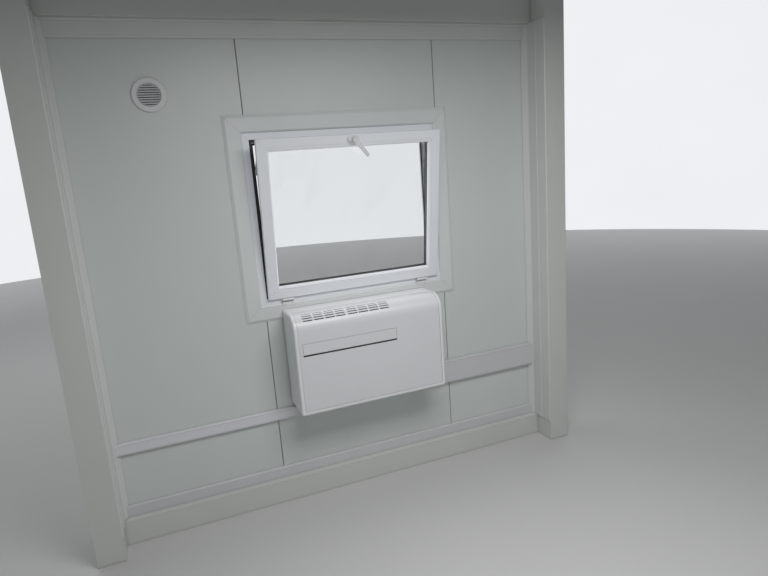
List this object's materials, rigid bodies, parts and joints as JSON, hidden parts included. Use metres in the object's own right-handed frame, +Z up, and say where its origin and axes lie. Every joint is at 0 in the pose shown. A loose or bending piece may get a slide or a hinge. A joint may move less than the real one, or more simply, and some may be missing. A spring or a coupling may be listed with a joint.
{
  "type": "site cabin end wall with tilt window and wall air conditioner",
  "caption": "End wall of a portable site cabin: steel edge frame, insulated panels, plastic window leaning open, wall air conditioner below it, round vent and room-side trims.",
  "frame": {"origin": "On the underside of the floor rail, at the middle of the wall's width and in the plane of the inner lining.", "axes": "+X along the wall, to the right seen from the room; +Y through the wall towards the weather; +Z up"},
  "size_m": [2.989, 0.411, 2.882],
  "materials": {
    "frame_steel": "satin",
    "lining_board": "satin",
    "outer_sheet": "satin",
    "pvc_white": "satin",
    "seal": "matt",
    "glass": "clear",
    "handle_white": "gloss",
    "trim_white": "satin",
    "sill_metal": "satin",
    "vent_plastic": "satin",
    "unit_plastic": "satin",
    "unit_flap_plastic": "satin",
    "bracket_metal": "matt",
    "duct_plastic": "matt",
    "trunk_plastic": "satin"
  },
  "bodies": {
    "root": {"corner_post_left": "frame_steel", "corner_post_right": "frame_steel", "floor_rail": "frame_steel", "roof_rail": "frame_steel", "lining_left": "lining_board", "lining_middle_lower": "lining_board", "lining_middle_upper": "lining_board", "lining_right": "lining_board", "outer_panel_left": "outer_sheet", "outer_panel_middle_lower": "outer_sheet", "outer_panel_middle_upper": "outer_sheet", "outer_panel_right": "outer_sheet", "window_frame": "pvc_white", "window_sash": "pvc_white", "glazing_bead": "pvc_white", "glazing_seals": "seal", "window_glass": "glass", "handle_rose": "handle_white", "handle_lever": "handle_white", "sash_hinges": "handle_white", "window_trim_bottom": "trim_white", "window_trim_right": "trim_white", "window_trim_top": "trim_white", "window_trim_left": "trim_white", "window_flashing": "sill_metal", "window_sill": "sill_metal", "vent_grille": "vent_plastic", "vent_duct": "duct_plastic", "vent_cap": "vent_plastic", "unit_surround": "unit_plastic", "unit_front_panel": "unit_plastic", "unit_chassis": "bracket_metal", "frame_seals": "seal", "sash_stays": "sill_metal", "unit_flap_pan": "unit_flap_plastic", "unit_flap": "unit_flap_plastic", "unit_bracket": "bracket_metal", "unit_ducts": "duct_plastic", "unit_outer_grilles": "vent_plastic", "corner_cover_right": "trim_white", "corner_cover_left": "trim_white", "cornice": "trim_white", "skirting": "trunk_plastic", "cable_trunking": "trunk_plastic", "dado_trunking": "trunk_plastic"}
  },
  "joints": []
}
